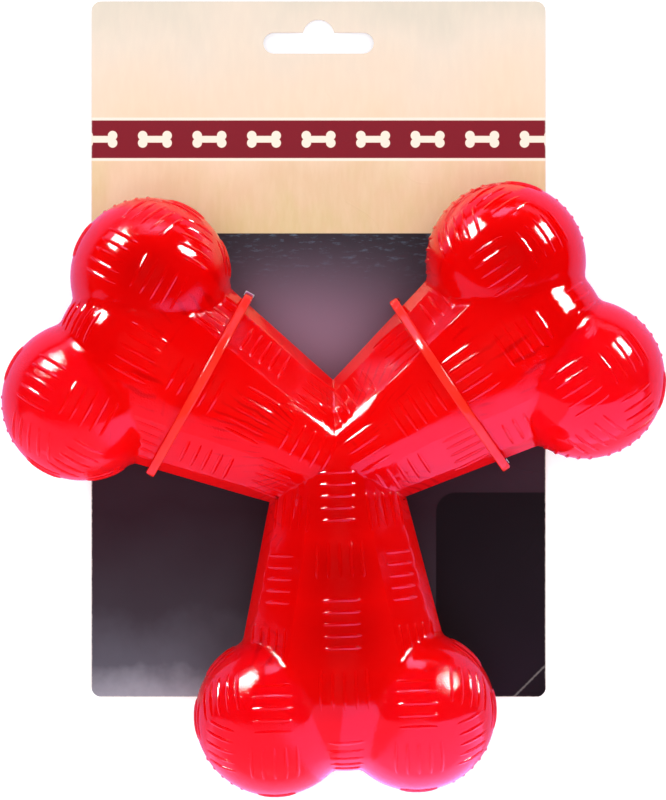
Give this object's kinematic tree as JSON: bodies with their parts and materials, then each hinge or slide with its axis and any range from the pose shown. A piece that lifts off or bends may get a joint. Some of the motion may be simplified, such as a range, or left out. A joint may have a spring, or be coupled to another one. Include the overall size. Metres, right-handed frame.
{
  "type": "rubber chew toy",
  "caption": "Clear red rubber chew bone with ribbed arms and ball ends, held by plastic ties on a hang card.",
  "frame": {"origin": "middle of the bounding box's bottom face: the table that the card's ties rest on", "axes": "+Z out of the front of the card, towards the viewer, +Y up the card towards its hang slot, +X to the right of the card as seen from the front"},
  "size_m": [0.1833, 0.2234, 0.0486],
  "materials": {
    "rubber": "glossy clear",
    "card": "satin print",
    "tie": "clear"
  },
  "bodies": {
    "root": {"rubber_bone": "rubber", "hang_card": "card", "tie_left": "tie", "tie_right": "tie"}
  },
  "joints": []
}
